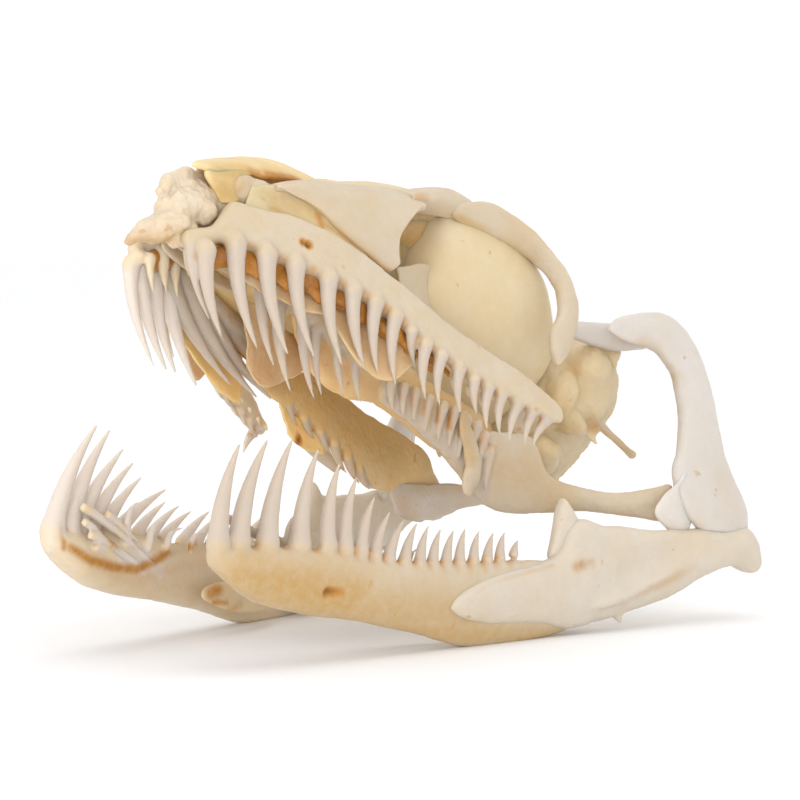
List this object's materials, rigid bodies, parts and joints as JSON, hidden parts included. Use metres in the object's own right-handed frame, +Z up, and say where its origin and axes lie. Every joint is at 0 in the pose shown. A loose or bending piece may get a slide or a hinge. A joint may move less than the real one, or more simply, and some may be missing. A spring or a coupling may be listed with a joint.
{
  "type": "python skull",
  "caption": "Dried python skull with its lower jaws, gaping, with long recurved teeth; lies on its jaws.",
  "frame": {"origin": "middle of the footprint of the whole skull, on the table", "axes": "+Y from snout to the back of the skull, +X to the animal's left, +Z up"},
  "size_m": [0.0424, 0.0666, 0.0436],
  "materials": {
    "bone": "dry cream bone, satin, with pale glossy teeth",
    "yellow_bone": "thin yellowish translucent bone, satin",
    "pale_bone": "pale greyish bone with dried tissue, satin"
  },
  "bodies": {
    "root": {"premaxilla": "bone", "parietal": "yellow_bone", "hind_braincase": "yellow_bone", "basisphenoid": "yellow_bone", "nasal_left": "bone", "nasal_right": "bone", "septomaxilla_left": "pale_bone", "septomaxilla_right": "pale_bone", "vomer_left": "bone", "vomer_right": "bone", "prefrontal_left": "bone", "prefrontal_right": "bone", "frontal_left": "yellow_bone", "frontal_right": "yellow_bone", "supraorbital_left": "bone", "supraorbital_right": "bone", "postorbital_left": "bone", "postorbital_right": "bone", "supratemporal_left": "pale_bone", "supratemporal_right": "pale_bone", "stapes_left": "bone", "stapes_right": "bone", "maxilla_left": "bone", "maxilla_right": "bone", "palatine_left": "bone", "palatine_right": "bone", "pterygoid_left": "bone", "pterygoid_right": "bone", "ectopterygoid_left": "bone", "ectopterygoid_right": "bone", "quadrate_left": "pale_bone", "quadrate_right": "pale_bone", "dentary_left": "bone", "dentary_right": "bone", "compound_left": "bone", "compound_right": "bone", "coronoid_left": "bone", "coronoid_right": "bone", "splenial_left": "yellow_bone", "splenial_right": "yellow_bone", "angular_left": "yellow_bone", "angular_right": "yellow_bone"}
  },
  "joints": []
}
